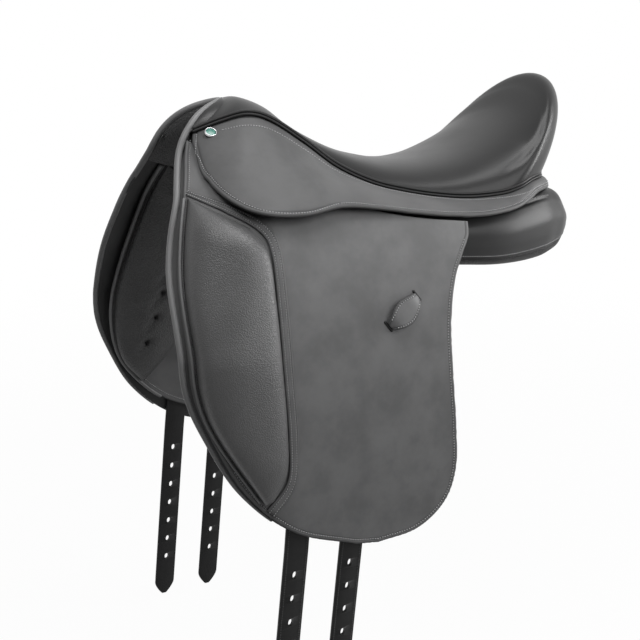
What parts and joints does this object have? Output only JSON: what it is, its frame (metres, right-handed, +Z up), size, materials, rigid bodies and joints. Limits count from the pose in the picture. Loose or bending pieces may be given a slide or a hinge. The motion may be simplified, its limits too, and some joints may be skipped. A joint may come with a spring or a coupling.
{
  "type": "dressage saddle",
  "caption": "Black leather dressage saddle with deep seat, long straight flaps, outside knee blocks, padded panels, an inner tree and hanging girth straps.",
  "frame": {"origin": "on the middle plane at the bearing level of the panels, 215 mm behind the nail buttons", "axes": "+X to the near (left) side of the horse, +Y to the rear, +Z up"},
  "size_m": [0.4188, 0.5106, 0.6689],
  "materials": {
    "seat_leather": "satin",
    "smooth_leather": "satin",
    "grain_leather": "pebbled satin",
    "lining_leather": "matte",
    "strap_leather": "satin",
    "piping": "satin",
    "seat_foam": "matte",
    "tree": "matte",
    "plate_steel": "brushed",
    "web": "woven",
    "nail_rim": "polished",
    "nail_face": "gloss"
  },
  "bodies": {
    "saddle": {"seat_cover": "seat_leather", "seat_foam": "seat_foam", "saddle_tree": "tree", "gullet_plate": "plate_steel", "pommel_lining": "grain_leather", "pommel_front": "seat_leather", "pommel_piping": "piping", "seat_piping": "piping", "band_cap": "smooth_leather", "nail_rims": "nail_rim", "nail_faces": "nail_face", "near_skirt_band": "smooth_leather", "off_skirt_band": "smooth_leather", "near_flap_head": "smooth_leather", "off_flap_head": "smooth_leather", "near_sweat_flap": "lining_leather", "off_sweat_flap": "lining_leather", "near_shoulder_pad": "grain_leather", "off_shoulder_pad": "grain_leather", "near_panel": "grain_leather", "off_panel": "grain_leather", "near_stirrup_bar": "plate_steel", "off_stirrup_bar": "plate_steel", "bar_rivets": "plate_steel", "near_girth_web": "web", "off_girth_web": "web", "strap_rivets": "plate_steel"},
    "near_flap": {"near_flap": "smooth_leather", "near_flap_lining": "lining_leather", "near_knee_block": "grain_leather", "near_knee_border": "smooth_leather", "near_keeper": "smooth_leather"},
    "near_skirt": {"near_skirt": "smooth_leather"},
    "near_front_strap": {"near_front_strap": "strap_leather"},
    "near_rear_strap": {"near_rear_strap": "strap_leather"},
    "off_flap": {"off_flap": "smooth_leather", "off_flap_lining": "lining_leather", "off_knee_block": "grain_leather", "off_knee_border": "smooth_leather", "off_keeper": "smooth_leather"},
    "off_skirt": {"off_skirt": "smooth_leather"},
    "off_front_strap": {"off_front_strap": "strap_leather"},
    "off_rear_strap": {"off_rear_strap": "strap_leather"}
  },
  "joints": [
    {"name": "near_flap_lift", "type": "hinge", "parent": "saddle", "child": "near_flap", "pos_m": [0.1344, -0.254, 0.0974], "axis": [-0.0849, -0.9784, 0.1885], "range_deg": [0, 40]},
    {"name": "near_skirt_lift", "type": "hinge", "parent": "saddle", "child": "near_skirt", "pos_m": [0.074, -0.228, 0.147], "axis": [-0.5043, -0.7697, 0.3915], "range_deg": [0, 50]},
    {"name": "near_front_strap_swing", "type": "hinge", "parent": "saddle", "child": "near_front_strap", "pos_m": [0.1595, -0.156, 0], "axis": [0.9925, 0, 0.1219], "range_deg": [-1.5, 2]},
    {"name": "near_rear_strap_swing", "type": "hinge", "parent": "saddle", "child": "near_rear_strap", "pos_m": [0.1595, -0.096, 0], "axis": [0.9925, 0, 0.1219], "range_deg": [-1.5, 10]},
    {"name": "off_flap_lift", "type": "hinge", "parent": "saddle", "child": "off_flap", "pos_m": [-0.1344, -0.254, 0.0974], "axis": [-0.0849, 0.9784, -0.1885], "range_deg": [0, 40]},
    {"name": "off_skirt_lift", "type": "hinge", "parent": "saddle", "child": "off_skirt", "pos_m": [-0.074, -0.228, 0.147], "axis": [-0.5043, 0.7697, -0.3915], "range_deg": [0, 50]},
    {"name": "off_front_strap_swing", "type": "hinge", "parent": "saddle", "child": "off_front_strap", "pos_m": [-0.1595, -0.156, 0], "axis": [0.9925, 0, -0.1219], "range_deg": [-1.5, 2]},
    {"name": "off_rear_strap_swing", "type": "hinge", "parent": "saddle", "child": "off_rear_strap", "pos_m": [-0.1595, -0.096, 0], "axis": [0.9925, 0, -0.1219], "range_deg": [-1.5, 10]}
  ]
}
